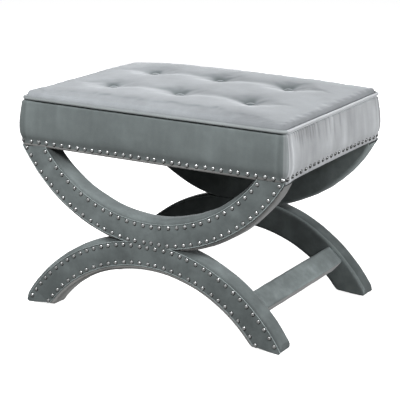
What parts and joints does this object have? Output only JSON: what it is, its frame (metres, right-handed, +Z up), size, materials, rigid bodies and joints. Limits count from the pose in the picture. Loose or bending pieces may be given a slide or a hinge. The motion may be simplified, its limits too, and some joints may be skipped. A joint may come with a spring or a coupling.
{
  "type": "x-base footstool",
  "caption": "Low upholstered stool: a boxed seat with a button-tufted top on two crossed-arc frames joined by stretchers, edged with rows of domed nails.",
  "frame": {"origin": "on the floor, below the middle of the seat", "axes": "+X along the width, to the right seen from the front; +Y to the back; +Z up"},
  "size_m": [0.6188, 0.4422, 0.4702],
  "materials": {
    "velvet": "slate blue-grey upholstery velvet",
    "wood": "plain beech, unfinished inside the upholstery",
    "plywood": "birch plywood and birch dowels, unfinished",
    "foam": "open-cell upholstery foam",
    "wadding": "polyester wadding",
    "nickel": "antique nickel plate",
    "dust_cloth": "black spunbond cloth",
    "black_plastic": "moulded plastic",
    "twine": "waxed tufting twine"
  },
  "bodies": {
    "root": {"front_rail": "wood", "back_rail": "wood", "left_rail": "wood", "right_rail": "wood", "corner_blocks": "wood", "seat_deck": "plywood", "deck_screws": "nickel", "seat_foam": "foam", "seat_cover": "velvet", "seat_piping": "velvet", "band_wadding": "wadding", "band_cover": "velvet", "band_nails": "nickel", "tuft_buttons": "velvet", "tuft_twines": "twine", "tuft_washers": "black_plastic", "dust_cover": "dust_cloth", "crossing_dowels": "plywood", "seat_dowels": "plywood", "stretcher_dowels": "plywood", "right_stretcher_core": "wood", "right_stretcher_cover": "velvet", "left_stretcher_core": "wood", "left_stretcher_cover": "velvet", "foot_glides": "black_plastic", "front_upper_core": "wood", "front_upper_wrap": "velvet", "front_upper_face": "velvet", "front_upper_nails": "nickel", "front_lower_core": "wood", "front_lower_wrap": "velvet", "front_lower_face": "velvet", "front_lower_nails": "nickel", "back_upper_core": "wood", "back_upper_wrap": "velvet", "back_upper_face": "velvet", "back_upper_nails": "nickel", "back_lower_core": "wood", "back_lower_wrap": "velvet", "back_lower_face": "velvet", "back_lower_nails": "nickel"}
  },
  "joints": []
}
